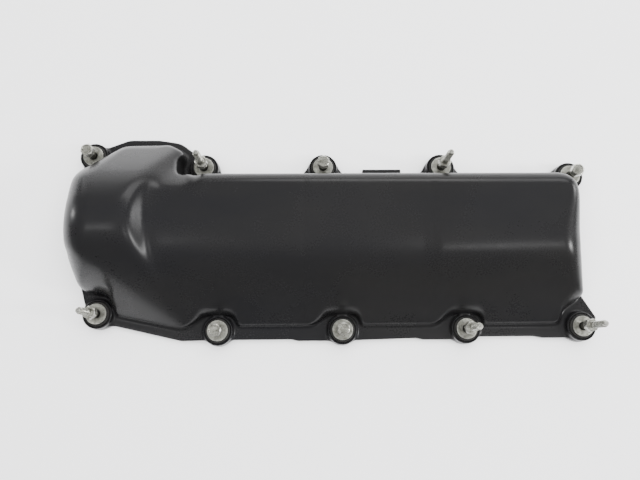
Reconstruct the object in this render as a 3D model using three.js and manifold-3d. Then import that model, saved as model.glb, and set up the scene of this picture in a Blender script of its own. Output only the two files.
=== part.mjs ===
// Cylinder-head cover of a small overhead-cam engine, as an assembly: a moulded cover, its perimeter
// gasket, and ten captive fasteners, each with a rubber isolator and a flanged steel sleeve.
// Millimetres, +Z up. Z = 0 is the sealing plane on the cylinder head, X runs along the camshaft.
import * as THREE from "three";
import { mergeVertices } from "three/addons/utils/BufferGeometryUtils.js";
import Module from "manifold-3d";

const wasm = await Module();
wasm.setup();

// ---- Driving dimensions ----
const BORE_PITCH = 108; // from cylinder to cylinder, which spaces the fasteners
const ROW_Y = 73.3; // fastener rows, each side of the centre line
const FLANGE_Z = 1; // underside of the flange, held off the head by the gasket
const FLANGE_TOP = 7;
const WALL = 2.8;
const ROOF = 3;
const MAIN_TOP = 58; // roof over the camshaft
const BEND_Y = -14; // where the main roof starts to slope
const MAIN_SLOPE = 0.87;
const HUMP_TOP = 76; // roof over the timing sprocket
const HUMP_NEAR_Y = -3; // the hump falls away on both sides of its crest
const HUMP_NEAR_SLOPE = 1.05;
const HUMP_FAR_Y = 39;
const HUMP_FAR_SLOPE = 1.07;
const STEP_X = -157; // where the hump's end wall meets the main roof
const STEP_SLOPE = 1.6;
const BESIDE_Y = 46; // beside the hump the main roof falls away too
const BESIDE_X = [-110, -132]; // where that starts and is complete
const POCKET_R = 20; // upright pocket in the corner beside the hump, round a fastener
const CUT = [-190.5, -60.5, -135, -72.5]; // foot line of the inclined face under the hump
const CUT_SLOPE = 1.33;
const DRAFT = Math.tan((3 * Math.PI) / 180);
const BOSS_R = 13;
const BOSS_TOP = 13;
const SEAT_R = 11.2; // recess in the boss that the isolator's collar sits in
const SEAT_Z = 9.5;
const BORE_R = 8;
const LIP_R = 9.6; // recess under the lug for the isolator's retaining lip
const LIP_TOP = 3.6;
const GROOVE = 4;
const GROOVE_TOP = 4.6;
const GROOVE_INSET = 1; // groove centre line, inside the foot of the wall
const GASKET = 3.2;
const GASKET_TOP = 4.2;
const LEDGE = 5.2; // how far the flange reaches inside the foot of the wall
const GAP = 0.35; // clearance between pieces
const SLEEVE_R = 8.9;
const SLEEVE_TOP = 16;
const SLEEVE_FLANGE = 1.6;
const TUBE_R = 5;
const TUBE_BORE_R = 3.5;
const THREAD_R = 3; // M6
const HEX_FLATS = 10;
const HEX_HEIGHT = 7;
const LIFT = 10; // how far a fastener stands proud while the cover rests on a bench
const STUD_LENGTH = 24;
const TIP_Z = 0.2;
const RIB_X = [-24, 90]; // stiffening ribs under the roof
const RIB_DEPTH = 6;
const RIB_WIDTH = 2.4;
const RIB_FOOT = 1; // how far a rib stands in from the wall
const TAB_SIZE = [35, 8, 3]; // small tab on the steep side's flange
const TAB_AT = [45.5, 69.6];
const ROUND = 16; // facets round a turned piece

const FASTENERS = [
  { at: [-217, 84.5], kind: "bolt" },
  { at: [-117, ROW_Y], kind: "stud" },
  { at: [-117 + BORE_PITCH, ROW_Y], kind: "bolt" },
  { at: [-117 + 2 * BORE_PITCH, ROW_Y], kind: "stud" },
  { at: [217.5, 65], kind: "bolt" },
  { at: [-206, -58], kind: "stud" },
  { at: [-101.5, -ROW_Y], kind: "bolt" },
  { at: [-101.5 + BORE_PITCH, -ROW_Y], kind: "bolt" },
  { at: [-101.5 + 2 * BORE_PITCH, -ROW_Y], kind: "stud" },
  { at: [216.5, -72], kind: "stud" },
];

// ---- Plan outlines: corners as [x, y, fillet radius], anticlockwise ----
const SILL_Y = -70; // foot of the wall on the sloping side
const FAR_Y = 59.6; // foot of the wall on the steep side
const END_X = 211;

// A pocket in the sloping side's foot that leaves room for a fastener and its socket.
const pocket = ([x, y]) => [
  [x - 27, SILL_Y, 14],
  [x - 12.5, y + 13.2, 9],
  [x + 12.5, y + 13.2, 9],
  [x + 17.5, SILL_Y, 5],
];
const BEFORE_CORNER = [
  [-135, -72.5, 9],
  ...pocket(FASTENERS[6].at),
  ...pocket(FASTENERS[7].at),
  ...pocket(FASTENERS[8].at),
  [197.5, SILL_Y, 7],
  [201.5, -57, 10],
  [217.5, -46, 8],
  [END_X, -10, 40],
  [END_X, FAR_Y, 22],
];
const AFTER_CORNER = [
  [-149, 95.5, 10],
  [-189, 95, 20],
  [-226.5, 61.5, 24],
  [-227, 18, 40],
  [-227, -16, 36],
  [-220.8, -38, 12],
  [-196, -43, 9],
  [-190.5, -60.5, 6],
];
// The corner beside the hump is moulded round a fastener. The blank is the foot without that pocket.
const CORNER = [
  [-122, FAR_Y, 6],
  [-134, 60, 10],
  [-137.5, 75, 14],
  [-132.6, 85, 7],
];
const FOOT = [...BEFORE_CORNER, ...CORNER, ...AFTER_CORNER];
const BLANK = [...BEFORE_CORNER, [-124, FAR_Y, 2], [-131, 86, 2], ...AFTER_CORNER];
const POCKET = [
  [-106, FAR_Y + 0.1, 1],
  [-106, 92, 1],
  [-130, 92, 1],
  [-133, 84.5, 1],
  ...CORNER.slice(1, 3).reverse(),
  [-122, FAR_Y + 0.1, 6],
];
// A flared lug of the flange on the steep side.
const lug = ([x, y]) => [
  [x + 20, 67.5, 8],
  [x + 11, y + 6, 6],
  [x - 11, y + 6, 6],
  [x - 20, 67.5, 8],
];
const FLANGE = [
  [-134, -81.6, 9],
  [-101.5, -81, 20],
  [-38, -81, 4],
  [-32, -82.4, 4],
  [FASTENERS[7].at[0], -82.4, 4],
  [72, -80.8, 4],
  [78, -82.2, 4],
  [FASTENERS[8].at[0], -82.2, 4],
  [FASTENERS[8].at[0] + 10, -80, 4],
  [176, -80, 4],
  [184, -81.6, 4],
  [205, -81.6, 5],
  [216, -84.5, 4],
  [226, -79, 4],
  [233, -64, 1.5],
  [221.5, -45, 8],
  [216, -20, 20],
  [216, 40, 20],
  [226, 62, 8],
  [214, 77, 8],
  [200, 67.5, 8],
  ...lug(FASTENERS[3].at),
  ...lug(FASTENERS[2].at),
  [-98, 67.5, 6],
  [-126, 88.5, 8],
  [-140, 99.5, 20],
  [-160, 102.6, 30],
  [-188, 102.6, 20],
  [-200, 98, 10],
  [-226, 88, 10],
  [-232.5, 45, 30],
  [-233.5, 0, 40],
  [-219.6, -48, 10],
  [-213, -68, 8],
  [-192, -68.2, 8],
];

// The skins' points are drawn in from the outline towards stations on a spine under the crest.
const SPINE = { left: [-178, 14], right: [172, 0] };
const STATIONS = [SPINE.left[0], -167, -159, -150, -136, -118];
for (let x = -90; x <= 150; x += 30) STATIONS.push(x);
STATIONS.push(SPINE.right[0]);

// Points along the outline: fillets every 30 degrees or so, straights every STRIDE mm, and one point
// level with each station.
const STRIDE = 30;
function outline(corners) {
  const points = [];
  const ends = corners.map(([x, y, r], i) => {
    const p = new THREE.Vector2(x, y);
    const before = new THREE.Vector2(...corners.at(i - 1).slice(0, 2)).sub(p);
    const after = new THREE.Vector2(...corners[(i + 1) % corners.length].slice(0, 2)).sub(p);
    const half = Math.acos(before.clone().normalize().dot(after.clone().normalize())) / 2;
    const back = Math.min(r / Math.tan(half), 0.48 * before.length(), 0.48 * after.length());
    const turn = Math.PI - 2 * half;
    return { p, turn, a: p.clone().add(before.setLength(back)), b: p.clone().add(after.setLength(back)) };
  });
  ends.forEach((end, i) => {
    const arc = new THREE.QuadraticBezierCurve(end.a, end.p, end.b);
    points.push(...arc.getPoints(Math.max(2, Math.ceil(end.turn / 0.5))));
    const next = ends[(i + 1) % ends.length].a;
    const pieces = Math.ceil(end.b.distanceTo(next) / STRIDE);
    const stops = [];
    for (let k = 1; k < pieces; k++) stops.push(k / pieces);
    for (const x of STATIONS) stops.push((x - end.b.x) / (next.x - end.b.x));
    const inner = stops.filter((t) => t > 0.02 && t < 0.98).sort((t, u) => t - u);
    for (const t of inner) points.push(end.b.clone().lerp(next, t));
  });
  return points.filter((q, i) => q.distanceTo(points.at(i - 1)) > 0.2);
}

// The outline moved outwards by d, along the mean normal of the two sides at each point. Points that
// cross over in a tight corner are dropped.
function offset(points, d) {
  const moved = points.map((p, i) => {
    const before = points.at(i - 1);
    const after = points[(i + 1) % points.length];
    const n1 = new THREE.Vector2(p.y - before.y, before.x - p.x).normalize();
    const n2 = new THREE.Vector2(after.y - p.y, p.x - after.x).normalize();
    const n = n1.clone().add(n2).normalize();
    return p.clone().addScaledVector(n, d / Math.max(0.5, n.dot(n1)));
  });
  return moved.filter(({ x, y }) => distanceTo(points, x, y) >= 0.99 * Math.abs(d));
}

function distanceTo(points, x, y) {
  let best = Infinity;
  points.forEach((a, i) => {
    const b = points[(i + 1) % points.length];
    const dx = b.x - a.x;
    const dy = b.y - a.y;
    const along = ((x - a.x) * dx + (y - a.y) * dy) / (dx * dx + dy * dy);
    const t = Math.min(1, Math.max(0, along));
    best = Math.min(best, Math.hypot(x - a.x - t * dx, y - a.y - t * dy));
  });
  return best;
}

// ---- The roof: a main roof with one sloping side, and a taller hump over the sprocket ----
const soften = (u, k) => k * Math.log1p(Math.exp(u / k)); // 0 below u = 0, then u, with a soft bend
const smoothMin = (a, b, k) => a - soften(a - b, k);
const smoothMax = (a, b, k) => a + soften(b - a, k);
function between(value, start, end) {
  const t = THREE.MathUtils.clamp((value - start) / (end - start), 0, 1);
  return t * t * (3 - 2 * t);
}

function roof(x, y) {
  const near = HUMP_NEAR_SLOPE * soften(HUMP_NEAR_Y - y, 9);
  const far = HUMP_FAR_SLOPE * soften(y - HUMP_FAR_Y, 12);
  const endWall = MAIN_TOP + STEP_SLOPE * (STEP_X - x);
  const hump = smoothMin(HUMP_TOP - near - far, endWall, 5);
  const beside = HUMP_FAR_SLOPE * soften(y - BESIDE_Y, 5) * between(x, ...BESIDE_X);
  const main = MAIN_TOP - MAIN_SLOPE * soften(BEND_Y - y, 6) - beside;
  const [x0, y0, x1, y1] = CUT;
  const inward = ((x1 - x0) * (y - y0) - (y1 - y0) * (x - x0)) / Math.hypot(x1 - x0, y1 - y0);
  const both = smoothMax(main, hump, 4 + 4 * between(y, 35, 60));
  return smoothMin(both, FLANGE_TOP + CUT_SLOPE * inward, 1.5);
}

// Radius of the edge between wall and roof, which is tight round the pocket.
function shoulder(x, y) {
  const [pocketX, pocketY] = FASTENERS[1].at;
  const away = between(Math.hypot(x - pocketX, y - pocketY), POCKET_R + 4, POCKET_R + 26);
  const tight = (1 - away) * between(x, -116, -128);
  const share = THREE.MathUtils.lerp(0.4, 0.24, between(x, -150, -110) * between(y, 0, 40));
  return THREE.MathUtils.clamp(share * (1 - 0.9 * tight) * (roof(x, y) - FLANGE_TOP), 2.5, 27);
}

// Height of a skin over (x, y): a wall with draft that rounds over into the roof. The drop from the
// outside is measured square to the roof, so a steep part keeps its thickness.
function skinHeight(points, x, y, drop) {
  const inward = distanceTo(points, x, y);
  const top = roof(x, y);
  const steepness = Math.hypot(1, roof(x + 0.5, y) - roof(x - 0.5, y), roof(x, y + 0.5) - roof(x, y - 0.5));
  const radius = Math.max(1.5, shoulder(x, y) - drop);
  let low = FLANGE_TOP;
  let high = HUMP_TOP;
  while (high - low > 0.01) {
    const z = (low + high) / 2;
    const over = (z - top) / steepness + drop;
    const out = DRAFT * (z - FLANGE_TOP) - inward;
    const rounded = Math.hypot(Math.max(over + radius, 0), Math.max(out + radius, 0)) - radius;
    if (Math.max(rounded, Math.min(over, 0) - radius) < 0) low = z;
    else high = z;
  }
  return low;
}

// A closed solid under a skin: rings of points run in from the foot and meet on the spine.
function skin(foot, bottom, drop, inward, along) {
  const [x0, y0] = SPINE.left;
  const [x1, y1] = SPINE.right;
  const nearest = (x) => STATIONS.reduce((a, b) => (Math.abs(b - x) < Math.abs(a - x) ? b : a));
  const spine = foot.map((p) => nearest(p.x));
  const targets = spine.map((x) => new THREE.Vector2(x, y0 + ((x - x0) / (x1 - x0)) * (y1 - y0)));
  const ringAt = (place) =>
    foot.map((p, i) => {
      const { x, y } = p.clone().lerp(targets[i], place(p.distanceTo(targets[i])));
      return [x, y, skinHeight(foot, x, y, drop)];
    });
  const rings = [foot.map((p) => [p.x, p.y, bottom]), foot.map((p) => [p.x, p.y, FLANGE_TOP])];
  for (const mm of inward) rings.push(ringAt((length) => mm / length));
  const last = inward.at(-1);
  for (const share of along) rings.push(ringAt((length) => (last + share * (length - last)) / length));
  const n = foot.length;
  const index = [];
  for (let r = 0; r + 1 < rings.length; r++) {
    for (let i = 0; i < n; i++) {
      const j = (i + 1) % n;
      const ridge = r + 2 === rings.length && spine[i] === spine[j];
      index.push(r * n + i, r * n + j, (r + 1) * n + j);
      if (!ridge) index.push(r * n + i, (r + 1) * n + j, (r + 1) * n + i);
    }
  }
  for (const [a, b, c] of THREE.ShapeUtils.triangulateShape(foot, [])) index.push(c, b, a);
  const geometry = new THREE.BufferGeometry();
  geometry.setAttribute("position", new THREE.Float32BufferAttribute(rings.flat(2), 3));
  geometry.setIndex(index);
  return geometry;
}

// ---- Joins and cuts ----
function solid(geometry) {
  const bare = geometry.clone();
  bare.deleteAttribute("normal");
  bare.deleteAttribute("uv");
  const merged = mergeVertices(bare, 1e-4);
  const vertProperties = merged.attributes.position.array;
  const triVerts = new Uint32Array(merged.index.array);
  return new wasm.Manifold(new wasm.Mesh({ numProp: 3, vertProperties, triVerts }));
}
function geometryOf(body) {
  const mesh = body.getMesh();
  const geometry = new THREE.BufferGeometry();
  geometry.setAttribute("position", new THREE.BufferAttribute(new Float32Array(mesh.vertProperties), 3));
  geometry.setIndex(new THREE.BufferAttribute(new Uint32Array(mesh.triVerts), 1));
  geometry.computeVertexNormals();
  return geometry;
}
function plate(points, holes, z0, z1) {
  const shape = new THREE.Shape(points);
  shape.holes = holes.map((hole) => new THREE.Path(hole));
  const geometry = new THREE.ExtrudeGeometry(shape, { depth: z1 - z0, bevelEnabled: false });
  return geometry.translate(0, 0, z0);
}
// A turned solid about Z: the profile is a closed list of [radius, z], anticlockwise.
function turned(profile, facets = ROUND) {
  const points = [...profile, profile[0]].map(([r, z]) => new THREE.Vector2(r, z));
  return new THREE.LatheGeometry(points, facets).rotateX(Math.PI / 2);
}
const disc = (radius, z0, z1, [x, y]) =>
  turned([[0, z0], [radius, z0], [radius, z1], [0, z1]]).translate(x, y, 0);

// ---- The cover ----
function coverGeometry() {
  const foot = outline(FOOT);
  const blank = outline(BLANK);
  const pocketed = (body, thickness) =>
    body.subtract(solid(plate(offset(outline(POCKET), thickness), [], FLANGE_TOP, HUMP_TOP)));
  const inside = offset(blank, -WALL);
  const outer = pocketed(solid(skin(blank, FLANGE_Z, 0, [0.8, 3, 8, 20], [0.5, 1])), 0);
  let hollow = solid(skin(inside, FLANGE_Z - 1, ROOF, [1.5, 6, 18], [0.5, 1]));
  for (const x of RIB_X) {
    const slab = new THREE.BoxGeometry(RIB_WIDTH, 200, 100).translate(x, 0, 50 + FLANGE_TOP);
    hollow = hollow.subtract(solid(slab));
  }
  const underRibs = offset(blank, -WALL - RIB_FOOT);
  hollow = hollow.add(solid(skin(underRibs, FLANGE_Z - 0.5, ROOF + RIB_DEPTH, [1.5, 6, 18], [0.5, 1])));
  const ledge = offset(foot, -LEDGE);
  hollow = pocketed(hollow, WALL);
  let body = outer.subtract(hollow).add(solid(plate(outline(FLANGE), [ledge], FLANGE_Z, FLANGE_TOP)));
  const tab = new THREE.BoxGeometry(...TAB_SIZE).translate(...TAB_AT, FLANGE_TOP - 2);
  body = body.add(solid(tab));
  for (const { at } of FASTENERS) body = body.add(solid(disc(BOSS_R, FLANGE_Z, BOSS_TOP, at)));
  for (const { at } of FASTENERS) {
    body = body
      .subtract(solid(disc(SEAT_R, SEAT_Z, BOSS_TOP + 3, at)))
      .subtract(solid(disc(BORE_R, FLANGE_Z - 1, BOSS_TOP, at)))
      .subtract(solid(disc(LIP_R, FLANGE_Z - 1, LIP_TOP, at)));
  }
  const inset = (d) => offset(foot, d - GROOVE_INSET);
  const groove = plate(inset(GROOVE / 2), [inset(-GROOVE / 2)], FLANGE_Z - 1, GROOVE_TOP);
  return geometryOf(body.subtract(solid(groove)));
}
function gasketGeometry() {
  const foot = outline(FOOT);
  const inset = (d) => offset(foot, d - GROOVE_INSET);
  return plate(inset(GASKET / 2), [inset(-GASKET / 2)], 0, GASKET_TOP);
}

// ---- The fasteners ----
const isolatorGeometry = () =>
  turned([
    [TUBE_R + GAP, FLANGE_Z + 0.2],
    [LIP_R - GAP, FLANGE_Z + 0.8],
    [LIP_R - GAP, LIP_TOP - GAP],
    [BORE_R - GAP, LIP_TOP - GAP],
    [BORE_R - GAP, SEAT_Z + GAP],
    [SEAT_R - GAP, SEAT_Z + GAP],
    [SEAT_R - GAP, SLEEVE_TOP - SLEEVE_FLANGE - 1.2],
    [SEAT_R - 1.8, SLEEVE_TOP - SLEEVE_FLANGE - GAP],
    [TUBE_R + GAP, SLEEVE_TOP - SLEEVE_FLANGE - GAP],
  ]);
const sleeveGeometry = () =>
  turned([
    [TUBE_BORE_R, FLANGE_Z],
    [TUBE_R, FLANGE_Z],
    [TUBE_R, SLEEVE_TOP - SLEEVE_FLANGE],
    [SLEEVE_R, SLEEVE_TOP - SLEEVE_FLANGE],
    [SLEEVE_R, SLEEVE_TOP],
    [TUBE_BORE_R, SLEEVE_TOP],
  ]);

// The fastener's own origin is the seat under its hexagon.
const HEAD_Z = SLEEVE_TOP + LIFT;
const SHANK_R = THREAD_R - 0.05;
function shank() {
  const tip = TIP_Z - HEAD_Z;
  return [
    [0, tip],
    [SHANK_R - 0.8, tip],
    [SHANK_R, tip + 1],
    [SHANK_R, 0],
  ];
}
function fastenerGeometry(kind) {
  const flat = HEX_FLATS / 2;
  const corner = flat / Math.cos(Math.PI / 6);
  const prism = new THREE.CylinderGeometry(corner, corner, 60, 6).rotateX(Math.PI / 2);
  const blank = turned(
    [[0, 0], [corner, 0], [corner, HEX_HEIGHT - 0.6], [flat - 0.4, HEX_HEIGHT], [0, HEX_HEIGHT]],
    24,
  );
  const hexagon = solid(blank).intersect(solid(prism));
  const top = HEX_HEIGHT + STUD_LENGTH;
  const rod = kind === "bolt"
    ? [...shank(), [0, 0.5]]
    : [...shank(), [SHANK_R, top - 1.5], [SHANK_R - 0.9, top - 0.4], [SHANK_R - 1.2, top], [0, top]];
  return geometryOf(hexagon.add(solid(turned(rod))));
}

// ---- The assembly ----
const look = (color, roughness, metalness) => new THREE.MeshStandardMaterial({ color, roughness, metalness });
const BLACK_PLASTIC = look(0x1c1c1e, 0.45, 0);
const BLACK_RUBBER = look(0x101011, 0.8, 0);
const ZINC = look(0xa9a99f, 0.45, 0.9);

const assembly = new THREE.Group();
function piece(name, geometry, material, [x, y] = [0, 0], z = 0) {
  const mesh = new THREE.Mesh(geometry, material);
  mesh.name = name;
  mesh.position.set(x, y, z);
  assembly.add(mesh);
}
piece("cover", coverGeometry(), BLACK_PLASTIC);
piece("perimeter_gasket", gasketGeometry(), BLACK_RUBBER);
FASTENERS.forEach(({ at, kind }, i) => {
  const number = i + 1;
  piece(`isolator_${number}`, isolatorGeometry(), BLACK_RUBBER, at);
  piece(`sleeve_${number}`, sleeveGeometry(), ZINC, at);
  piece(`${kind}_${number}`, fastenerGeometry(kind), ZINC, at, HEAD_Z);
});

// The origin sits under the middle of the whole assembly.
const middle = new THREE.Box3().setFromObject(assembly).getCenter(new THREE.Vector3()).setZ(0);
for (const mesh of assembly.children) mesh.position.sub(middle);

export default assembly;
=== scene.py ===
import math

import bpy
import numpy as np
from mathutils import Matrix, Vector


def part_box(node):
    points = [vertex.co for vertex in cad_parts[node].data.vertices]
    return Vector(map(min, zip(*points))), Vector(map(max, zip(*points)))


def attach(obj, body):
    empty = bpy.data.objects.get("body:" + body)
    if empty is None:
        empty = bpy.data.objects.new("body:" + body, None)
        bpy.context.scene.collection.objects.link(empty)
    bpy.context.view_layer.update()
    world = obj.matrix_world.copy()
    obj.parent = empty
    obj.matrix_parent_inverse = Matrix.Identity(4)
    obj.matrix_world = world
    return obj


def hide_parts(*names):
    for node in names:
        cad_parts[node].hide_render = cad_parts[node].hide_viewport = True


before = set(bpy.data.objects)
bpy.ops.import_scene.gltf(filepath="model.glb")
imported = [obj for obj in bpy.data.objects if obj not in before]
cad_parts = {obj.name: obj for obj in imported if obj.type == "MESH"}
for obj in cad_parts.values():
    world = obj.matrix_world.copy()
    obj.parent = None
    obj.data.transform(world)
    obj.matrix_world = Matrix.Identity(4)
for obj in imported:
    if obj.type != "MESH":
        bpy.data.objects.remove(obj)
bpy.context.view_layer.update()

# ---- Dimensions, in millimetres, in the same frame as the part's source before it is centred ----
BORE_PITCH = 108.0
ROW_Y = 73.3  # the middle fasteners stand at this distance from the long axis
DRAFT = math.tan(math.radians(3.0))
GAP = 0.35  # clearance between pieces that fit into each other

# The shell
FLANGE_Z = 1.0
FLANGE_TOP = 7.0
WALL = 2.8
ROOF = 3.0
LEDGE = 5.2  # how far the hollow keeps inside the foot's outline within the flange
RIB_X = (-24.0, 90.0)
RIB_DEPTH = 6.0
RIB_WIDTH = 2.4
TAB_X = 45.3
TAB_Y = 66.0
TAB_LENGTH = 35.4
TAB_DEPTH = 15.0
TAB_RISE = 1.0  # above the flange

# The roof: a main part with a bend and a slope, and a taller hump to the left
MAIN_TOP = 58.0
BEND_Y = -14.0
MAIN_SLOPE = 0.87
HUMP_TOP = 76.0
HUMP_NEAR_Y = -3.0
HUMP_NEAR_SLOPE = 1.05
HUMP_FAR_Y = 39.0
HUMP_FAR_SLOPE = 1.07
STEP_X = -157.0  # the hump's end wall
STEP_SLOPE = 1.6
BESIDE_Y = 46.0  # the far slope beside the hump
BESIDE_X = (-110.0, -132.0)
POCKET_R = 20.0  # the corner round fastener 2
CUT = (-190.5, -60.5, -135.0, -72.5)  # the foot of the inclined face, as x0, y0, x1, y1
CUT_SLOPE = 1.33
SINK_X = (-26.0, 81.0)  # faint sink lines across the main roof
SINK_DEPTH = 0.3
SINK_WIDTH = 3.5

# How softly the roof's planes meet
SOFT_HUMP_NEAR = 9.0
SOFT_HUMP_FAR = 12.0
SOFT_STEP = 5.0
SOFT_BESIDE = 5.0
SOFT_BEND = (6.0, 3.5)  # at the right end, and how much more to the left
SOFT_BEND_X = (88.0, 72.0)
SOFT_JOIN = (4.0, 4.0)  # at the near side, and how much more at the far side
SOFT_JOIN_Y = (35.0, 60.0)
SOFT_CUT = 1.5

# The radius of the edge between wall and roof
SHOULDER_SHARE = 0.4  # of the wall's height
SHOULDER_LESS = 0.16  # so much less on the far side of the main part
SHOULDER_TIGHT = 0.9  # so much of it is lost round the pocket
SHOULDER_LIMITS = (2.5, 27.0)
SHOULDER_LEAST = 1.5

# Radii of the shell's other edges and fillets
FLANGE_EDGE = 1.2
TAB_EDGE = 1.0
FOOT_FILLET = 3.0
BOSS_EDGE = 1.1
BOSS_FILLET = 2.6
UNDERSIDE_EDGE = 0.4
GROOVE_EDGE = 0.3
RIB_EDGE = 0.8

# Bosses with their seats and bores, the gasket and its groove
BOSS_R = 13.0
BOSS_TOP = 13.0
SEAT_R = 11.2
SEAT_Z = 9.5
BORE_R = 8.0
LIP_R = 9.6
LIP_TOP = 3.6
GROOVE = 4.0
GROOVE_TOP = 4.6
GROOVE_INSET = 1.0
GASKET = 3.2
GASKET_TOP = 4.2

# Sleeves and fasteners
SLEEVE_R = 8.9
SLEEVE_TOP = 16.0
SLEEVE_FLANGE = 1.6
TUBE_R = 5.0
TUBE_BORE_R = 3.5
HEX_FLATS = 10.0
HEX_HEIGHT = 7.0
HEX_CORNER = 1.135  # corners are rounded off at this share of half the flats
HEX_CHAMFER_FROM = 0.97
HEX_CHAMFER_SLOPE = 0.75
COLLAR = 1.7  # washer collar under the hexagon
LIFT = 10.0  # the fasteners stand proud by this much at rest
HEAD_Z = SLEEVE_TOP + LIFT
STUD_LENGTH = 24.0
TIP_Z = 0.2
THREAD_R = 3.0
THREAD_PITCH = 1.0
THREAD_DEPTH = 0.55
THREAD_STEPS = 6  # rings per turn
THREAD_FADE = 1.5  # turns over which a thread runs out
SHANK_THREAD = 13.0

# Number, kind, x and y
FASTENERS = [
    (1, "bolt", -217.0, 84.5),
    (2, "stud", -117.0, ROW_Y),
    (3, "bolt", -117.0 + BORE_PITCH, ROW_Y),
    (4, "stud", -117.0 + 2 * BORE_PITCH, ROW_Y),
    (5, "bolt", 217.5, 65.0),
    (6, "stud", -206.0, -58.0),
    (7, "bolt", -101.5, -ROW_Y),
    (8, "bolt", -101.5 + BORE_PITCH, -ROW_Y),
    (9, "stud", -101.5 + 2 * BORE_PITCH, -ROW_Y),
    (10, "stud", 216.5, -72.0),
]

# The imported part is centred, so every design coordinate is shifted by the same amount.
sleeve_low, sleeve_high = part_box("sleeve_3")
SHIFT = np.array(
    [
        (sleeve_low.x + sleeve_high.x) * 500.0 - FASTENERS[2][2],
        (sleeve_low.y + sleeve_high.y) * 500.0 - FASTENERS[2][3],
        0.0,
    ]
)

# ---- Plan outlines: corners as (x, y, fillet radius), anticlockwise ----
SILL_Y = -70.0
FAR_Y = 59.6
END_X = 211.0


def pocket(x, y):
    """Corners of the pocket in the sloping side's foot that leaves room for a fastener."""
    return [
        (x - 27, SILL_Y, 14),
        (x - 12.5, y + 13.2, 9),
        (x + 12.5, y + 13.2, 9),
        (x + 17.5, SILL_Y, 5),
    ]


def lug(x, y):
    """Corners of a flared lug of the flange on the steep side."""
    return [(x + 20, 67.5, 8), (x + 11, y + 6, 6), (x - 11, y + 6, 6), (x - 20, 67.5, 8)]


FOOT = [
    (-135, -72.5, 9),
    *pocket(*FASTENERS[6][2:]),
    *pocket(*FASTENERS[7][2:]),
    *pocket(*FASTENERS[8][2:]),
    (197.5, SILL_Y, 7),
    (201.5, -57, 10),
    (217.5, -46, 8),
    (END_X, -10, 40),
    (END_X, FAR_Y, 22),
    (-122, FAR_Y, 6),
    (-134, 60, 10),
    (-137.5, 75, 14),
    (-132.6, 85, 7),
    (-149, 95.5, 10),
    (-189, 95, 20),
    (-226.5, 61.5, 24),
    (-227, 18, 40),
    (-227, -16, 36),
    (-220.8, -38, 12),
    (-196, -43, 9),
    (-190.5, -60.5, 6),
]
FLANGE = [
    (-134, -81.6, 9),
    (-101.5, -81, 20),
    (-38, -81, 4),
    (-32, -82.4, 4),
    (FASTENERS[7][2], -82.4, 4),
    (72, -80.8, 4),
    (78, -82.2, 4),
    (FASTENERS[8][2], -82.2, 4),
    (FASTENERS[8][2] + 10, -80, 4),
    (176, -80, 4),
    (184, -81.6, 4),
    (205, -81.6, 5),
    (216, -84.5, 4),
    (226, -79, 4),
    (233, -64, 1.5),
    (221.5, -45, 8),
    (216, -20, 20),
    (216, 40, 20),
    (226, 62, 8),
    (214, 77, 8),
    (200, 67.5, 8),
    *lug(*FASTENERS[3][2:]),
    *lug(*FASTENERS[2][2:]),
    (-98, 67.5, 6),
    (-126, 88.5, 8),
    (-140, 99.5, 20),
    (-160, 102.6, 30),
    (-188, 102.6, 20),
    (-200, 98, 10),
    (-226, 88, 10),
    (-232.5, 45, 30),
    (-233.5, 0, 40),
    (-219.6, -48, 10),
    (-213, -68, 8),
    (-192, -68.2, 8),
]


def outline(corners, stride=3.0, turn_step=0.12):
    """Points along the outline with its corners filleted, as the part's source lays them."""
    corners = np.array(corners, float)
    p = corners[:, :2]
    before = np.roll(p, 1, 0) - p
    after = np.roll(p, -1, 0) - p
    lb = np.linalg.norm(before, axis=1)
    la = np.linalg.norm(after, axis=1)
    before /= lb[:, None]
    after /= la[:, None]
    half = np.arccos(np.sum(before * after, 1)) / 2
    back = np.minimum(corners[:, 2] / np.tan(half), np.minimum(0.48 * lb, 0.48 * la))
    a = p + before * back[:, None]
    b = p + after * back[:, None]
    points = []
    for i in range(len(p)):
        n = max(3, math.ceil((math.pi - 2 * half[i]) / turn_step))
        t = np.linspace(0, 1, n + 1)[:, None]
        points.extend((1 - t) ** 2 * a[i] + 2 * t * (1 - t) * p[i] + t * t * b[i])
        following = a[(i + 1) % len(p)]
        m = math.ceil(np.linalg.norm(following - b[i]) / stride)
        points.extend(b[i] + (following - b[i]) * k / m for k in range(1, m))
    points = np.array(points)
    keep = np.linalg.norm(points - np.roll(points, 1, 0), axis=1) > 0.02
    return points[keep]


def signed_distance(polygon, x, y):
    """Distance to the outline, positive inside it."""
    a = polygon
    b = np.roll(polygon, -1, 0)
    e = b - a
    best = np.full(x.shape, 1e9)
    inside = np.zeros(x.shape, bool)
    for (ax, ay), (bx, by), (ex, ey) in zip(a, b, e):
        wx, wy = x - ax, y - ay
        t = np.clip((wx * ex + wy * ey) / (ex * ex + ey * ey), 0, 1)
        best = np.minimum(best, (wx - t * ex) ** 2 + (wy - t * ey) ** 2)
        if ay != by:
            crosses = ((ay > y) != (by > y)) & (x < ax + (y - ay) * ex / ey)
            inside ^= crosses
    return np.where(inside, 1, -1) * np.sqrt(best)


# ---- The roof ----
def soften(u, k):
    """0 below zero and u above it, with a bend of size k between."""
    return k * np.logaddexp(0, u / k)


def soft_min(a, b, k):
    return a - soften(a - b, k)


def soft_max(a, b, k):
    return a + soften(b - a, k)


def between(value, start, end):
    """Rises smoothly from 0 at start to 1 at end."""
    t = np.clip((value - start) / (end - start), 0, 1)
    return t * t * (3 - 2 * t)


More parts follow.
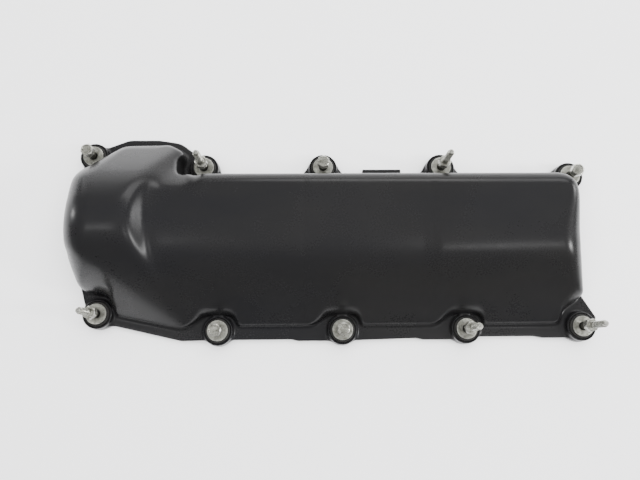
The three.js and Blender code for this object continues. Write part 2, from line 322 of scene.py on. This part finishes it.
def roof(x, y):
    """Height of the roof's planes, blended into each other, before the walls cut them off."""
    near = HUMP_NEAR_SLOPE * soften(HUMP_NEAR_Y - y, SOFT_HUMP_NEAR)
    far = HUMP_FAR_SLOPE * soften(y - HUMP_FAR_Y, SOFT_HUMP_FAR)
    end_wall = MAIN_TOP + STEP_SLOPE * (STEP_X - x)
    hump = soft_min(HUMP_TOP - near - far, end_wall, SOFT_STEP)
    beside = HUMP_FAR_SLOPE * soften(y - BESIDE_Y, SOFT_BESIDE) * between(x, *BESIDE_X)
    sink = sum(SINK_DEPTH * np.exp(-(((x - at) / SINK_WIDTH) ** 2)) for at in SINK_X)
    bend = SOFT_BEND[0] + SOFT_BEND[1] * between(x, *SOFT_BEND_X)
    main = MAIN_TOP - MAIN_SLOPE * soften(BEND_Y - y, bend) - beside - sink
    x0, y0, x1, y1 = CUT
    inward = ((x1 - x0) * (y - y0) - (y1 - y0) * (x - x0)) / math.hypot(x1 - x0, y1 - y0)
    both = soft_max(main, hump, SOFT_JOIN[0] + SOFT_JOIN[1] * between(y, *SOFT_JOIN_Y))
    return soft_min(both, FLANGE_TOP + CUT_SLOPE * inward, SOFT_CUT)


def shoulder(x, y):
    """Radius of the edge between wall and roof, which is tight round the pocket."""
    _, _, pocket_x, pocket_y = FASTENERS[1]
    away = between(np.hypot(x - pocket_x, y - pocket_y), POCKET_R + 4, POCKET_R + 26)
    tight = (1 - away) * between(x, -116, -128)
    share = SHOULDER_SHARE - SHOULDER_LESS * between(x, -150, -110) * between(y, 0, 40)
    radius = share * (1 - SHOULDER_TIGHT * tight) * (roof(x, y) - FLANGE_TOP)
    return np.clip(radius, *SHOULDER_LIMITS)


# ---- The cover as one implicit solid: negative inside, in millimetres ----
def round_max(a, b, r):
    """Intersection of two solids with a rounded edge of radius r."""
    u = np.maximum(a + r, 0)
    v = np.maximum(b + r, 0)
    return np.minimum(np.maximum(a, b), -r) + np.hypot(u, v)


def fillet_min(a, b, r):
    """Union of two solids with a fillet of radius r between them."""
    return -round_max(-a, -b, r)


class Plan:
    """The plan fields that the cover's solids are built from, at given points."""

    def __init__(self, x, y, foot, flange):
        self.foot = signed_distance(foot, x, y)
        self.flange = signed_distance(flange, x, y)
        self.roof = roof(x, y)
        self.shoulder = shoulder(x, y)
        gx = roof(x + 0.5, y) - roof(x - 0.5, y)
        gy = roof(x, y + 0.5) - roof(x, y - 0.5)
        self.steep = np.sqrt(1 + gx * gx + gy * gy)
        self.boss = np.full(x.shape, 1e9)
        for _, _, bx, by in FASTENERS:
            self.boss = np.minimum(self.boss, np.hypot(x - bx, y - by))
        tab_x = np.abs(x - TAB_X) - TAB_LENGTH / 2
        tab_y = np.abs(y - TAB_Y) - TAB_DEPTH / 2
        self.tab = np.maximum(tab_x, tab_y)
        self.ribs = np.full(x.shape, 1e9)
        for rib in RIB_X:
            self.ribs = np.minimum(self.ribs, np.abs(x - rib) - RIB_WIDTH / 2)

    def skin(self, z, inset, drop):
        """A wall with draft that rounds over into the roof."""
        wall = inset + DRAFT * (z - FLANGE_TOP) - self.foot
        top = (z - self.roof) / self.steep + drop
        return round_max(top, wall, np.maximum(self.shoulder - drop, SHOULDER_LEAST))

    def outside(self, z):
        """The shell's outside with its flange, tab, bosses and groove, still without seats."""
        body = self.skin(z, 0, 0)
        plate = round_max(z - FLANGE_TOP, -self.flange, FLANGE_EDGE)
        tab = round_max(z - FLANGE_TOP - TAB_RISE, self.tab, TAB_EDGE)
        body = fillet_min(body, np.minimum(plate, tab), FOOT_FILLET)
        side = self.boss - BOSS_R + DRAFT * (z - FLANGE_TOP)
        body = fillet_min(body, round_max(z - BOSS_TOP, side, BOSS_EDGE), BOSS_FILLET)
        body = round_max(body, FLANGE_Z - z, UNDERSIDE_EDGE)
        groove = np.maximum(np.abs(self.foot - GROOVE_INSET) - GROOVE / 2, z - GROOVE_TOP)
        return round_max(body, -groove, GROOVE_EDGE)

    def inside(self, z):
        """The hollow as a solid to cut out, which reaches below the flange's underside."""
        hollow = self.skin(z, WALL, ROOF)
        under_ribs = self.skin(z, WALL + 1, ROOF + RIB_DEPTH)
        rib = np.maximum(self.ribs, -under_ribs)
        hollow = round_max(hollow, -rib, RIB_EDGE)
        ledge = np.maximum(hollow, LEDGE - self.foot)
        hollow = np.where(z < FLANGE_TOP, ledge, hollow)
        return np.maximum(hollow, FLANGE_Z - 4 - z)


def surface_nets(axes, values):
    """Quads of the zero surface on a rectilinear grid."""
    inside = values < 0
    nx, ny, nz = values.shape
    cell = (nx - 1, ny - 1, nz - 1)
    total = np.zeros(cell + (3,))
    count = np.zeros(cell)
    quads = []
    for axis in range(3):
        u, v = [k for k in range(3) if k != axis]
        low = [slice(None)] * 3
        high = [slice(None)] * 3
        low[axis] = slice(None, -1)
        high[axis] = slice(1, None)
        a, b = values[tuple(low)], values[tuple(high)]
        edge = np.argwhere(inside[tuple(low)] != inside[tuple(high)])
        va = a[tuple(edge.T)]
        vb = b[tuple(edge.T)]
        t = va / (va - vb)
        point = np.stack([axes[k][edge[:, k]] for k in range(3)], 1)
        step = axes[axis][edge[:, axis] + 1] - axes[axis][edge[:, axis]]
        point[:, axis] += t * step
        for du in (0, 1):
            for dv in (0, 1):
                c = edge.copy()
                c[:, u] -= du
                c[:, v] -= dv
                fine = np.all((c >= 0) & (c < np.array(cell)), 1)
                np.add.at(total, tuple(c[fine].T), point[fine])
                np.add.at(count, tuple(c[fine].T), 1)
        eu, ev = edge[:, u], edge[:, v]
        fine = (eu > 0) & (ev > 0) & (eu < cell[u]) & (ev < cell[v])
        e = edge[fine]
        ring = []
        for du, dv in ((1, 1), (0, 1), (0, 0), (1, 0)):
            c = e.copy()
            c[:, u] -= du
            c[:, v] -= dv
            ring.append(np.ravel_multi_index(tuple(c.T), cell))
        ring = np.stack(ring, 1)
        flip = (va[fine] > 0) ^ (axis == 1)
        ring[flip] = ring[flip][:, ::-1]
        quads.append(ring)
    quads = np.concatenate(quads)
    used, faces = np.unique(quads, return_inverse=True)
    faces = faces.reshape(quads.shape)
    points = total.reshape(-1, 3)[used] / count.reshape(-1)[used][:, None]
    return points, faces


def spaced(stops):
    """Grid lines from (start, spacing) pairs up to the last start."""
    lines = []
    for (a, step), (b, _) in zip(stops, stops[1:]):
        n = max(1, round((b - a) / step))
        lines.extend(a + (b - a) * np.arange(n) / n)
    lines.append(stops[-1][0])
    return np.array(lines)


def new_object(name, points, faces):
    """A smooth-shaded object from points in design millimetres."""
    mesh = bpy.data.meshes.new(name)
    points = (np.asarray(points) + SHIFT) / 1000.0
    mesh.from_pydata(points.tolist(), [], [list(map(int, f)) for f in faces])
    mesh.update()
    mesh.shade_smooth()
    item = bpy.data.objects.new(name, mesh)
    bpy.context.scene.collection.objects.link(item)
    return item


PROBE = 0.05  # how far apart a field is read to find its slope
LEAST_SLOPE = 0.2
LARGEST_STEP = 0.4


def meshed(field, foot, flange, axes):
    """Points and quads of an implicit solid, settled onto its true surface."""
    xs, ys, zs = axes
    gx, gy = np.meshgrid(xs, ys, indexing="ij")
    plan = Plan(gx, gy, foot, flange)
    values = np.stack([field(plan, z) for z in zs], 2)
    points, faces = surface_nets(axes, values)
    for _ in range(2):
        x, y, z = points.T
        here = Plan(x, y, foot, flange)
        value = field(here, z)
        moved = [
            field(Plan(x + PROBE, y, foot, flange), z) - value,
            field(Plan(x, y + PROBE, foot, flange), z) - value,
            field(here, z + PROBE) - value,
        ]
        slope = np.stack(moved, 1) / PROBE
        step = value / np.maximum(np.sum(slope * slope, 1), LEAST_SLOPE)
        points -= slope * np.clip(step, -LARGEST_STEP, LARGEST_STEP)[:, None]
    return points, faces


def ring_faces(rings, facets):
    """Quads between neighbouring rings of points, with the last ring joined to the first."""
    faces = []
    for r in range(rings):
        s = (r + 1) % rings
        for i in range(facets):
            j = (i + 1) % facets
            faces.append((r * facets + i, r * facets + j, s * facets + j, s * facets + i))
    return faces


def capped_faces(rings, facets):
    """Quads between neighbouring rings of points, and a flat face at each end."""
    last = (rings - 1) * facets
    faces = ring_faces(rings, facets)[:last]
    faces.append(tuple(reversed(range(facets))))
    faces.append(tuple(range(last, last + facets)))
    return faces


def revolved(profile, facets, at):
    """Points of a profile of (radius, z) turned about a vertical axis."""
    angles = np.arange(facets) * 2 * math.pi / facets
    around = [(math.cos(a), math.sin(a)) for a in angles]
    return [(at[0] + r * c, at[1] + r * s, z) for r, z in profile for c, s in around]


def carve(target, cutters):
    """Cuts the cutters' solids out of the target."""
    bpy.context.view_layer.objects.active = target
    for cutter in cutters:
        change = target.modifiers.new("cut", "BOOLEAN")
        change.operation = "DIFFERENCE"
        change.solver = "MANIFOLD"
        change.object = cutter
        bpy.ops.object.modifier_apply(modifier=change.name)
        bpy.data.objects.remove(cutter)


SEAT_FACETS = 96


def build_cover():
    """The shell: its outside less the hollow and less a stepped seat in each boss."""
    foot = outline(FOOT)
    flange = outline(FLANGE)
    k = 1.0
    outer_axes = (
        spaced([(-240.3, 1.2 * k), (240.3, 0)]),
        spaced([(-90.4, 1.0 * k), (-50, 1.8 * k), (50, 1.0 * k), (107.3, 0)]),
        spaced([(-0.35, 0.8 * k), (17.4, 1.5 * k), (79, 0)]),
    )
    inner_axes = (
        spaced([(-232, 2.0 * k), (220, 0)]),
        spaced([(-76, 2.0 * k), (98, 0)]),
        spaced([(-4, 2.0 * k), (76, 0)]),
    )
    shell = new_object("cover_shell", *meshed(Plan.outside, foot, flange, outer_axes))
    cutters = [new_object("hollow", *meshed(Plan.inside, foot, flange, inner_axes))]
    for _, _, x, y in FASTENERS:
        profile = [
            (LIP_R, FLANGE_Z - 2),
            (LIP_R, LIP_TOP),
            (BORE_R, LIP_TOP),
            (BORE_R, SEAT_Z),
            (SEAT_R, SEAT_Z),
            (SEAT_R, BOSS_TOP - 0.7),
            (SEAT_R + 0.25, BOSS_TOP - 0.2),
            (SEAT_R + 0.8, BOSS_TOP + 0.1),
            (SEAT_R + 0.8, BOSS_TOP + 8),
        ]
        points = revolved(profile, SEAT_FACETS, (x, y))
        cutters.append(new_object("seat", points, capped_faces(len(profile), SEAT_FACETS)))
    carve(shell, cutters)
    shell.data.materials.clear()
    shell.data.shade_smooth()
    return shell


# ---- Materials: procedural, in object coordinates, which are metres ----
class Nodes:
    """A short way to write a material's nodes."""

    def __init__(self, name):
        self.material = bpy.data.materials.new(name)
        self.material.use_nodes = True
        self.tree = self.material.node_tree
        self.shader = self.tree.nodes["Principled BSDF"]
        self.place = self.tree.nodes.new("ShaderNodeTexCoord").outputs["Object"]

    def noise(self, scale, detail=3.0, roughness=0.5, stretch=None):
        node = self.tree.nodes.new("ShaderNodeTexNoise")
        node.inputs["Scale"].default_value = scale
        node.inputs["Detail"].default_value = detail
        node.inputs["Roughness"].default_value = roughness
        source = self.place
        if stretch:
            mapping = self.tree.nodes.new("ShaderNodeMapping")
            mapping.inputs["Scale"].default_value = stretch
            self.tree.links.new(self.place, mapping.inputs["Vector"])
            source = mapping.outputs["Vector"]
        self.tree.links.new(source, node.inputs["Vector"])
        return node.outputs["Fac"]

    def ramp(self, source, low, high, first, last):
        """Maps source from low..high to first..last, which are numbers or colours."""
        node = self.tree.nodes.new("ShaderNodeMapRange")
        self.tree.links.new(source, node.inputs["Value"])
        node.inputs["From Min"].default_value = low
        node.inputs["From Max"].default_value = high
        if isinstance(first, tuple):
            return self.mix(node.outputs["Result"], first, last)
        node.inputs["To Min"].default_value = first
        node.inputs["To Max"].default_value = last
        return node.outputs["Result"]

    def mix(self, factor, first, last):
        """Blends two colours, each given as numbers or as a socket."""
        node = self.tree.nodes.new("ShaderNodeMix")
        node.data_type = "RGBA"
        self.tree.links.new(factor, node.inputs["Factor"])
        for socket, value in (("A", first), ("B", last)):
            target = next(i for i in node.inputs if i.name == socket and i.type == "RGBA")
            if isinstance(value, tuple):
                target.default_value = (*value, 1)
            else:
                self.tree.links.new(value, target)
        return next(o for o in node.outputs if o.type == "RGBA")

    def specks(self, scale, radius):
        """1 inside small spots, 0 outside."""
        node = self.tree.nodes.new("ShaderNodeTexVoronoi")
        node.inputs["Scale"].default_value = scale
        self.tree.links.new(self.place, node.inputs["Vector"])
        return self.ramp(node.outputs["Distance"], radius, radius * 0.6, 0.0, 1.0)

    def join(self, operation, first, last):
        """A Math node on two values, each a number or a socket."""
        node = self.tree.nodes.new("ShaderNodeMath")
        node.operation = operation
        for socket, value in zip(node.inputs, (first, last)):
            if isinstance(value, (int, float)):
                socket.default_value = value
            else:
                self.tree.links.new(value, socket)
        return node.outputs["Value"]

    def height(self):
        """Height in the piece's own coordinates, which is its height above the floor at rest."""
        node = self.tree.nodes.new("ShaderNodeSeparateXYZ")
        self.tree.links.new(self.place, node.inputs[0])
        return node.outputs["Z"]

    def worn_edges(self, low, high):
        """1 on edges that stick out, 0 on flat and hollow places."""
        node = self.tree.nodes.new("ShaderNodeNewGeometry")
        return self.ramp(node.outputs["Pointiness"], low, high, 0.0, 1.0)

    def bump(self, height, strength, distance):
        node = self.tree.nodes.new("ShaderNodeBump")
        node.inputs["Strength"].default_value = strength
        node.inputs["Distance"].default_value = distance
        self.tree.links.new(height, node.inputs["Height"])
        self.tree.links.new(node.outputs["Normal"], self.shader.inputs["Normal"])

    def link(self, source, name):
        self.tree.links.new(source, self.shader.inputs[name])


def black_plastic():
    """Moulded glass-filled nylon: near black, satin, with flow marks, grain and a little dust."""
    n = Nodes("black_plastic")
    flow = n.noise(9, 4, 0.55, (0.5, 1.6, 1.0))
    base = n.ramp(flow, 0.3, 0.7, (0.0068, 0.0068, 0.0077), (0.0094, 0.0091, 0.0089))
    dust = n.join("MULTIPLY", n.specks(160, 0.05), n.ramp(n.noise(30, 2), 0.62, 0.72, 0.0, 0.6))
    base = n.mix(dust, base, (0.09, 0.085, 0.078))
    n.link(base, "Base Color")
    wiped = n.ramp(n.noise(14, 3, 0.6), 0.35, 0.7, 0.25, 0.31)
    n.link(n.join("ADD", wiped, n.ramp(n.noise(700, 2), 0.3, 0.7, -0.01, 0.01)), "Roughness")
    grain = n.join("ADD", n.noise(1500, 2), n.join("MULTIPLY", n.noise(90, 2), 3.0))
    n.shader.inputs["Specular IOR Level"].default_value = 0.21
    n.bump(grain, 0.1, 0.00002)
    return n.material


def zinc(name, roughness, head=None):
    """Zinc plating: warm grey, mottled, with dull stains and brighter handled edges.

    Where the height of a head is given, in metres, the shank under it and the crease over the
    collar are darkened with painted shade.
    """
    n = Nodes(name)
    base = n.ramp(n.noise(210, 4, 0.6), 0.34, 0.66, (0.17, 0.17, 0.148), (0.5, 0.5, 0.445))
    stain = n.ramp(n.noise(520, 3, 0.7), 0.52, 0.68, 0.0, 0.65)
    base = n.mix(stain, base, (0.2, 0.195, 0.15))
    base = n.mix(n.join("MULTIPLY", n.worn_edges(0.52, 0.6), 0.6), base, (0.72, 0.72, 0.68))
    if head:
        # Painted shade: the shank under the head and the crease over the collar are darkened in
        # the base colour
        z = n.height()
        crease = head + COLLAR / 1000.0
        over = n.ramp(z, crease - 0.0005, crease - 0.0002, 0.0, 0.8)
        under = n.ramp(z, crease + 0.0001, crease + 0.0004, 1.0, 0.0)
        shank = n.ramp(z, head - 0.0001, head + 0.0003, 0.88, 0.0)
        painted_shade = n.join("MAXIMUM", shank, n.join("MULTIPLY", over, under))
        base = n.mix(painted_shade, base, (0.03, 0.029, 0.024))
    n.link(base, "Base Color")
    n.shader.inputs["Metallic"].default_value = 0.85
    n.link(n.ramp(n.noise(800, 3), 0.3, 0.7, roughness - 0.08, roughness + 0.12), "Roughness")
    n.bump(n.noise(2200, 3), 0.25, 0.00008)
    return n.material


def rubber(name, roughness):
    """Black moulded rubber with a fine matt bloom."""
    n = Nodes(name)
    base = n.ramp(n.noise(180, 4, 0.6), 0.35, 0.7, (0.006, 0.006, 0.006), (0.015, 0.0145, 0.0135))
    n.link(base, "Base Color")
    n.link(n.ramp(n.noise(400, 2), 0.3, 0.7, roughness - 0.1, roughness + 0.1), "Roughness")
    n.shader.inputs["Specular IOR Level"].default_value = 0.35
    n.bump(n.noise(1600, 3), 0.3, 0.0001)
    return n.material


def plain(name, color, roughness):
    """A matt surface for the stage, with a faint mottle."""
    n = Nodes(name)
    low = tuple(0.985 * c for c in color)
    n.link(n.ramp(n.noise(3, 2), 0.3, 0.7, low, color), "Base Color")
    n.shader.inputs["Roughness"].default_value = roughness
    return n.material


# ---- The gasket ----
def build_gasket():
    """A ribbed rubber section swept round the groove."""
    path = outline(FOOT, stride=4.0, turn_step=0.18)
    ahead = np.roll(path, -1, 0) - np.roll(path, 1, 0)
    normal = np.stack([-ahead[:, 1], ahead[:, 0]], 1) / np.linalg.norm(ahead, axis=1)[:, None]
    path = path + normal * GROOVE_INSET
    w, h = GASKET / 2, GASKET_TOP
    half = [
        (0.35 * w, 0.0),
        (0.7 * w, 0.12),
        (0.82 * w, 0.45),
        (0.8 * w, 0.28 * h),
        (w, 0.4 * h),
        (0.8 * w, 0.52 * h),
        (0.8 * w, 0.66 * h),
        (w, 0.78 * h),
        (0.8 * w, 0.9 * h),
        (0.4 * w, h),
    ]
    section = half + [(-u, z) for u, z in reversed(half)]
    points = []
    for u, z in section:
        ring = path + normal * u
        points.extend((x, y, z) for x, y in ring)
    faces = [f[::-1] for f in ring_faces(len(section), len(path))]
    return new_object("gasket_rubber_seal", points, faces)


# ---- Turned rubber and steel pieces ----
TURNED_FACETS = 72


def build_turned(name, profile, at):
    """A turned ring from a closed profile of (radius, z), anticlockwise."""
    points = revolved(profile, TURNED_FACETS, at)
    item = new_object(name, points, ring_faces(len(profile), TURNED_FACETS))
    item.data.set_sharp_from_angle(angle=math.radians(32))
    return item


def build_isolator(name, at):
    """A rubber grommet: a lip under the boss, a waist in the bore, a grooved head in the seat."""
    seat = SEAT_R - GAP
    neck = BORE_R - GAP
    lip = LIP_R - GAP
    top = SLEEVE_TOP - SLEEVE_FLANGE - GAP
    low = FLANGE_Z + 0.2
    profile = [
        (TUBE_R + GAP, low),
        (lip - 1.2, low + 0.1),
        (lip - 0.3, low + 0.5),
        (lip, low + 0.9),
        (lip, LIP_TOP - GAP - 0.3),
        (lip - 0.3, LIP_TOP - GAP),
        (neck + 0.3, LIP_TOP - GAP),
        (neck, LIP_TOP - GAP + 0.3),
        (neck - 0.3, (LIP_TOP + SEAT_Z) / 2),
        (neck, SEAT_Z + GAP - 0.3),
        (neck + 0.3, SEAT_Z + GAP),
        (seat - 0.4, SEAT_Z + GAP),
        (seat, SEAT_Z + GAP + 0.4),
        (seat, SEAT_Z + 1.6),
        (seat - 0.35, SEAT_Z + 1.9),
        (seat - 0.35, SEAT_Z + 2.3),
        (seat, SEAT_Z + 2.6),
        (seat - 0.1, top - 1.0),
        (seat - 0.5, top - 0.45),
        (seat - 1.2, top - 0.1),
        (seat - 1.9, top),
        (TUBE_R + GAP, top),
    ]
    return build_turned(name, profile, at)


def build_sleeve(name, at):
    """A steel limiter: a tube through the isolator with a slightly dished flange on top."""
    under = SLEEVE_TOP - SLEEVE_FLANGE
    profile = [
        (TUBE_BORE_R + 0.3, FLANGE_Z),
        (TUBE_R - 0.3, FLANGE_Z),
        (TUBE_R, FLANGE_Z + 0.3),
        (TUBE_R, under - 0.2),
        (TUBE_R + 0.2, under),
        (SLEEVE_R - 0.45, under),
        (SLEEVE_R - 0.12, under + 0.15),
        (SLEEVE_R, under + 0.5),
        (SLEEVE_R, SLEEVE_TOP - 0.5),
        (SLEEVE_R - 0.15, SLEEVE_TOP - 0.18),
        (SLEEVE_R - 0.5, SLEEVE_TOP - 0.03),
        (SLEEVE_R - 1.0, SLEEVE_TOP),
        (TUBE_BORE_R + 2.2, SLEEVE_TOP - 0.12),
        (TUBE_BORE_R + 0.7, SLEEVE_TOP - 0.22),
        (TUBE_BORE_R + 0.25, SLEEVE_TOP - 0.4),
        (TUBE_BORE_R, SLEEVE_TOP - 0.9),
        (TUBE_BORE_R, FLANGE_Z + 0.3),
    ]
    return build_turned(name, profile, at)


# ---- Bolts and stud bolts: rings of points from the tip to the top ----
FACETS = 48
ANGLES = np.arange(FACETS) * 2 * math.pi / FACETS


def thread_rings(low, high, tip_up):
    """Rings of a helical thread between two heights, fading out at the end away from the tip."""
    rings = []
    for z in np.arange(low, high, THREAD_PITCH / THREAD_STEPS):
        phase = (z / THREAD_PITCH - ANGLES / (2 * math.pi)) % 1
        # 1 on the flat crest and 0 in the flat root, with straight flanks between
        ridge = np.clip(1.25 - 2.6 * np.abs(phase - 0.5), 0, 1)
        end = (z - low) if tip_up else (high - z)
        fade = np.clip(end / (THREAD_FADE * THREAD_PITCH), 0, 1)
        rings.append((THREAD_R - 0.06 - THREAD_DEPTH * (1 - ridge) * fade, np.full(FACETS, z)))
    return rings


def hexagon(low, high, turn):
    """Rings of a hexagon with a chamfered top, as radii and heights."""
    flat = HEX_FLATS / 2
    from_flat = (ANGLES + turn + math.pi / 6) % (math.pi / 3) - math.pi / 6
    edge = np.minimum(flat / np.cos(from_flat), flat * HEX_CORNER)
    chamfer = np.clip(edge - HEX_CHAMFER_FROM * flat, 0, 1) * HEX_CHAMFER_SLOPE
    level = np.ones(FACETS)
    return [
        (edge - 0.15, level * low),
        (edge, level * (low + 0.15)),
        (edge, high - 0.12 - chamfer),
        (edge - 0.12, high - chamfer),
        (level * 0.9 * flat, level * high),
    ]


def build_fastener(name, kind, at, turn):
    """A hexagon-headed bolt, or a stud bolt with a second thread above its hexagon."""
    level = np.ones(FACETS)
    flat = HEX_FLATS / 2
    shank = THREAD_R - 0.05
    rings = [
        (level * (shank - 0.9), level * TIP_Z),
        (level * (shank - 0.3), level * (TIP_Z + 0.7)),
    ]
    rings += thread_rings(TIP_Z + 0.9, TIP_Z + SHANK_THREAD, False)
    rings += [
        (level * shank, level * (TIP_Z + SHANK_THREAD + 0.3)),
        (level * shank, level * (HEAD_Z - 0.4)),
        (level * (shank + 0.3), level * HEAD_Z),
        (level * (flat - 0.25), level * HEAD_Z),
        (level * flat, level * (HEAD_Z + 0.25)),
        (level * flat, level * (HEAD_Z + COLLAR - 0.5)),
        (level * (flat - 0.5), level * (HEAD_Z + COLLAR - 0.15)),
    ]
    top = HEAD_Z + HEX_HEIGHT
    rings += hexagon(HEAD_Z + COLLAR, top, turn)
    if kind == "bolt":
        rings += [
            (level * 0.8 * flat, level * top),
            (level * 0.72 * flat, level * (top - 0.35)),
            (level * 0.3 * flat, level * (top - 0.5)),
        ]
    else:
        end = top + STUD_LENGTH
        rings += [
            (level * (shank + 0.55), level * top),
            (level * (shank + 0.3), level * (top + 0.35)),
            (level * (shank - 0.15), level * (top + 0.9)),
            (level * (shank - 0.15), level * (top + 4.5)),
        ]
        rings += thread_rings(top + 4.8, end - 3.2, True)
        rings += [
            (level * (shank - 0.7), level * (end - 3.0)),
            (level * (shank - 0.75), level * (end - 0.7)),
            (level * (shank - 1.3), level * end),
        ]
    points = []
    for radius, z in rings:
        points.extend(zip(at[0] + radius * np.cos(ANGLES), at[1] + radius * np.sin(ANGLES), z))
    item = new_object(name, points, capped_faces(len(rings), FACETS))
    item.data.set_sharp_from_angle(angle=math.radians(28))
    return item


# ---- The pieces ----
def add(piece, body, node, finish):
    piece.data.materials.append(finish)
    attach(piece, body)
    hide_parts(node)


add(build_cover(), "cover_body", "cover", black_plastic())
gasket_finish = rubber("gasket_rubber", 0.62)
add(build_gasket(), "cover_body", "perimeter_gasket", gasket_finish)
isolator_finish = rubber("isolator_rubber", 0.8)
sleeve_finish = zinc("sleeve_zinc", 0.38)
fastener_finish = zinc("fastener_zinc", 0.3, HEAD_Z / 1000.0)
HEX_TURNS = (0.2, 0.55, 0.12, 0.8, 0.35, 0.95, 0.5, 0.05, 0.7, 0.3)
for (number, kind, x, y), turn in zip(FASTENERS, HEX_TURNS):
    isolator = build_isolator(f"rubber_isolator_{number}", (x, y))
    add(isolator, "cover_body", f"isolator_{number}", isolator_finish)
    sleeve = build_sleeve(f"limiter_sleeve_{number}", (x, y))
    add(sleeve, "cover_body", f"sleeve_{number}", sleeve_finish)
    fastener = build_fastener(f"captive_{kind}_{number}", kind, (x, y), turn)
    add(fastener, f"{kind}_{number}_body", f"{kind}_{number}", fastener_finish)


# ---- Camera: its angles in radians and its place in design millimetres ----
PITCH = 0.19339
YAW = 0.02201
ROLL = -0.0056465
CAMERA_AT = (-23.96, -95.68, 533.14)
LENS = 33.4
forward = Vector((0, math.sin(PITCH), -math.cos(PITCH)))
up = Vector((0, math.cos(PITCH), math.sin(PITCH)))
right = Vector((1, 0, 0))
right_2 = right * math.cos(YAW) - forward * math.sin(YAW)
forward_2 = forward * math.cos(YAW) + right * math.sin(YAW)
right_3 = right_2 * math.cos(ROLL) + up * math.sin(ROLL)
up_3 = up * math.cos(ROLL) - right_2 * math.sin(ROLL)
place = (Vector(CAMERA_AT) + Vector(SHIFT)) / 1000.0
camera_turn = Matrix((right_3, up_3, -forward_2)).transposed().to_4x4()
camera = bpy.data.objects.new("camera", bpy.data.cameras.new("camera"))
camera.matrix_world = Matrix.Translation(place) @ camera_turn
camera.data.lens = LENS
camera.data.sensor_width = 36
bpy.context.scene.collection.objects.link(camera)
bpy.context.scene.camera = camera

# ---- Stage, in metres ----
REACH = 6.0
floor_corners = [(-REACH, -REACH, 0), (REACH, -REACH, 0), (REACH, REACH, 0), (-REACH, REACH, 0)]
mesh = bpy.data.meshes.new("floor")
mesh.from_pydata(floor_corners, [], [(0, 1, 2, 3)])
floor = bpy.data.objects.new("floor", mesh)
floor.data.materials.append(plain("floor_paper", (0.86, 0.86, 0.87), 0.9))
bpy.context.scene.collection.objects.link(floor)


def area_light(name, position, target, width, height, power):
    """A rectangular light at a position, turned to face a target, with its power in watts."""
    data = bpy.data.lights.new(name, "AREA")
    data.shape = "RECTANGLE"
    data.size = width
    data.size_y = height
    data.energy = power
    lamp = bpy.data.objects.new(name, data)
    facing = (Vector(target) - Vector(position)).to_track_quat("-Z", "Y")
    lamp.matrix_world = Matrix.Translation(position) @ facing.to_matrix().to_4x4()
    bpy.context.scene.collection.objects.link(lamp)
    return lamp


area_light("back_window", (0, 1.6, 0.32), (0, 0, 0.05), 3.2, 0.6, 17)
area_light("back_shelf", (0.45, 1.35, 1.2), (0.05, 0.05, 0.05), 1.5, 0.4, 15)
area_light("left_window", (-1.4, 0.36, 0.3), (-0.2, 0, 0.05), 0.06, 0.16, 3.4)
area_light("right_window", (1.4, 0.42, 0.42), (0, 0, 0.05), 0.24, 0.34, 6)
area_light("right_window_near", (1.4, -0.24, 0.92), (0, 0, 0.05), 0.2, 0.3, 15)
area_light("ceiling_right", (0.7, -0.46, 1.65), (0.15, 0, 0.05), 0.48, 0.16, 2.9)
area_light("ceiling_left", (-0.76, -0.32, 1.65), (-0.2, 0, 0.05), 0.24, 0.3, 2.0)
fill = area_light("fill", (0, 0.1, 1.6), (0, 0, 0), 2.5, 2.0, 114)
fill.visible_glossy = False
world = bpy.data.worlds.new("room")
world.use_nodes = True
background = world.node_tree.nodes["Background"]
background.inputs["Color"].default_value = (1, 1, 1, 1)
background.inputs["Strength"].default_value = 0.3
bpy.context.scene.world = world
